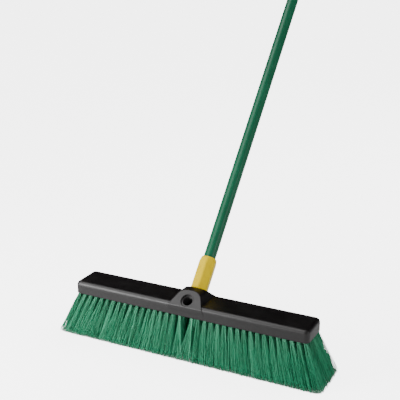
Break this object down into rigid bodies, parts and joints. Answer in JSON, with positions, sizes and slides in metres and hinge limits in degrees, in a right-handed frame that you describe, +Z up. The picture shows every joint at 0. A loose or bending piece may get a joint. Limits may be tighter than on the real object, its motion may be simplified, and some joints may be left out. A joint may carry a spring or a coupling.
{
  "type": "push broom",
  "caption": "Push broom with a long bristle head, a humped block with front and rear threaded sockets, and a screw-in handle.",
  "frame": {"origin": "on the floor, at the centre of the bristle footprint", "axes": "+X along the block, +Y to the side that the handle leans towards, +Z up"},
  "size_m": [0.522, 1.0748, 1.2334],
  "materials": {
    "block_plastic": "moulded, fine grain, satin",
    "bristle": "crimped plastic filament with split tips",
    "ferrule_plastic": "moulded, semi-gloss",
    "tube_paint": "powder coat, semi-gloss",
    "rivet_steel": "plain steel",
    "plug_plastic": "natural moulded",
    "cap_plastic": "moulded, satin"
  },
  "bodies": {
    "head": {"block": "block_plastic", "tuft_column_01": "bristle", "tuft_column_02": "bristle", "tuft_column_03": "bristle", "tuft_column_04": "bristle", "tuft_column_05": "bristle", "tuft_column_06": "bristle", "tuft_column_07": "bristle", "tuft_column_08": "bristle", "tuft_column_09": "bristle", "tuft_column_10": "bristle", "tuft_column_11": "bristle", "tuft_column_12": "bristle", "tuft_column_13": "bristle", "tuft_column_14": "bristle", "tuft_column_15": "bristle", "tuft_column_16": "bristle", "tuft_column_17": "bristle", "tuft_column_18": "bristle", "tuft_column_19": "bristle", "tuft_column_20": "bristle", "tuft_column_21": "bristle", "tuft_column_22": "bristle", "tuft_column_23": "bristle", "tuft_column_24": "bristle", "tuft_column_25": "bristle", "tuft_column_26": "bristle", "tuft_column_27": "bristle", "tuft_column_28": "bristle", "tuft_column_29": "bristle", "tuft_column_30": "bristle", "tuft_column_31": "bristle", "tuft_column_32": "bristle", "tuft_column_33": "bristle", "tuft_column_34": "bristle", "tuft_column_35": "bristle", "tuft_column_36": "bristle", "tuft_column_37": "bristle"},
    "screw_core": {"tube_plug": "plug_plastic"},
    "handle": {"ferrule": "ferrule_plastic", "handle_tube": "tube_paint", "ferrule_rivet": "rivet_steel", "hang_cap": "cap_plastic"}
  },
  "joints": [
    {"name": "screw_travel", "type": "slide", "parent": "head", "child": "screw_core", "axis": [0, 0.6626, 0.749], "range_m": [0, 0.0254]},
    {"name": "handle_screw", "type": "hinge", "parent": "screw_core", "child": "handle", "pos_m": [0, 0.0227, 0.1044], "axis": [0, 0.6626, 0.749], "range_deg": [0, 1800]}
  ],
  "couplings": [
    {"joint": "handle_screw", "follows": "screw_travel", "rad_per_m": 1236.8}
  ]
}
